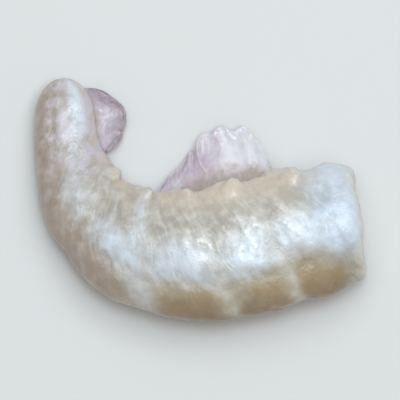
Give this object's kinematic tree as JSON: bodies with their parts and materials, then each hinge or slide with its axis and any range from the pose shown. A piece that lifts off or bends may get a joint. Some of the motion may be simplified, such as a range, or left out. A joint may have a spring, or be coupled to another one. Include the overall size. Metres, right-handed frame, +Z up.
{
  "type": "peeled raw prawn",
  "caption": "Raw peeled prawn without head or tail fan, curled on its side, with leg stubs and thin flaps of skin along the belly.",
  "frame": {"origin": "centre of the bounding box in plan, on the surface that the prawn lies on", "axes": "+X towards the neck, +Y towards the tail tip on the belly side, +Z up from the surface"},
  "size_m": [0.04, 0.0294, 0.0132],
  "materials": {
    "flesh": "wet, translucent raw flesh"
  },
  "bodies": {
    "root": {"prawn": "flesh"}
  },
  "joints": []
}
